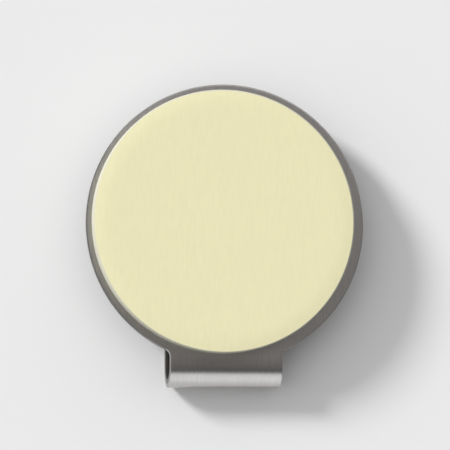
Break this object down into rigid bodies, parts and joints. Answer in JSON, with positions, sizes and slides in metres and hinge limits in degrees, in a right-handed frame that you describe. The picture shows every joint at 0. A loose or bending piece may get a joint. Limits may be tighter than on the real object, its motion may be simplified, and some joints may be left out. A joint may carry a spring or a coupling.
{
  "type": "golf ball marker",
  "caption": "Round magnetic golf ball marker seated on a folded sheet-steel clip for a cap's brim.",
  "frame": {"origin": "on the round plate's axis, at the plate's back face, which bears on the brim", "axes": "+Z out of the marker's face, -Y towards the fold, X along the fold; the clip lies on its back"},
  "size_m": [0.027, 0.0293, 0.0054],
  "materials": {
    "clip_steel": "dark warm grey, satin, brushed along Y",
    "magnet_plating": "nickel plated",
    "core_steel": "zinc plated",
    "marker_yellow": "matte pale yellow with a fine grain along Y"
  },
  "bodies": {
    "clip": {"clip_plate": "clip_steel", "magnet": "magnet_plating"},
    "tongue": {"clip_tongue": "clip_steel"},
    "marker": {"marker_core": "core_steel", "marker_shell": "marker_yellow"}
  },
  "joints": [
    {"name": "marker_lift", "type": "slide", "parent": "clip", "child": "marker", "axis": [0, 0, 1], "range_m": [0, 0.015]},
    {"name": "tongue_flex", "type": "hinge", "parent": "clip", "child": "tongue", "pos_m": [0, -0.01581, -0.00105], "axis": [-1, 0, 0], "range_deg": [0, 8], "stiffness_Nm_per_rad": 0.6}
  ]
}
